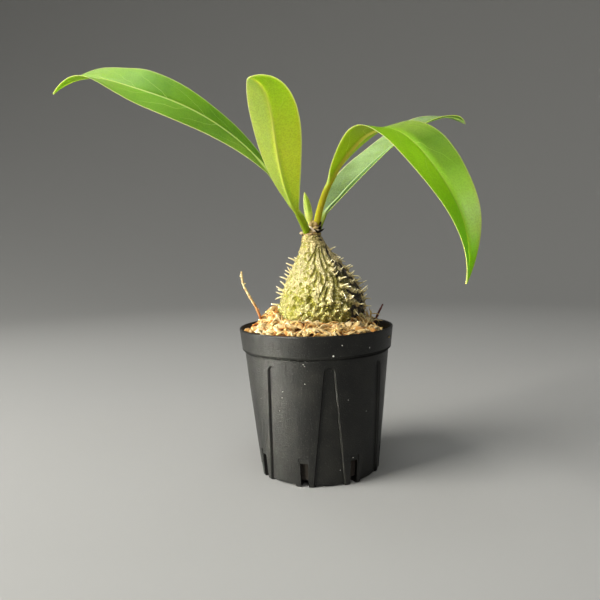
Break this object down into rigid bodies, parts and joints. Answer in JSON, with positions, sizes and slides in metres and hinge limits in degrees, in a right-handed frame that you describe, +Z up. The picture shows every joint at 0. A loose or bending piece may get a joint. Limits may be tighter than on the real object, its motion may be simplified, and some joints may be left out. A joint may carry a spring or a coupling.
{
  "type": "potted ant plant",
  "caption": "Potted Myrmecodia platytyrea: spiny swollen caudex with arching strap leaves, set in dried sphagnum in a tapered black nursery pot.",
  "frame": {"origin": "centre of the pot's underside, on the flat middle of its base", "axes": "+Z up along the pot's axis, -Y towards the side that the picture shows, +X to the right in that view"},
  "size_m": [0.2281, 0.1578, 0.2058],
  "materials": {
    "pot": "matte black moulded polypropylene with fine grain",
    "moss": "dried sphagnum, cream with orange-brown strands",
    "caudex": "ribbed and knobbly bark, cream on the crests and olive in the valleys",
    "stem": "pale young bark with leaf scars",
    "leaf_dark": "waxy mid-green upper face with pale midrib",
    "leaf_underside": "yellow-green underside",
    "leaf_pale": "greyish green",
    "leaf_young": "bright young green",
    "straw": "dry straw",
    "twig": "dark reddish bark"
  },
  "bodies": {
    "root": {"pot": "pot", "moss": "moss", "caudex": "caudex", "stem": "stem", "leaf_left": "leaf_dark", "leaf_front": "leaf_underside", "leaf_right": "leaf_dark", "leaf_back": "leaf_pale", "young_leaf": "leaf_young", "moss_stalk": "straw", "dark_twig": "twig"}
  },
  "joints": []
}
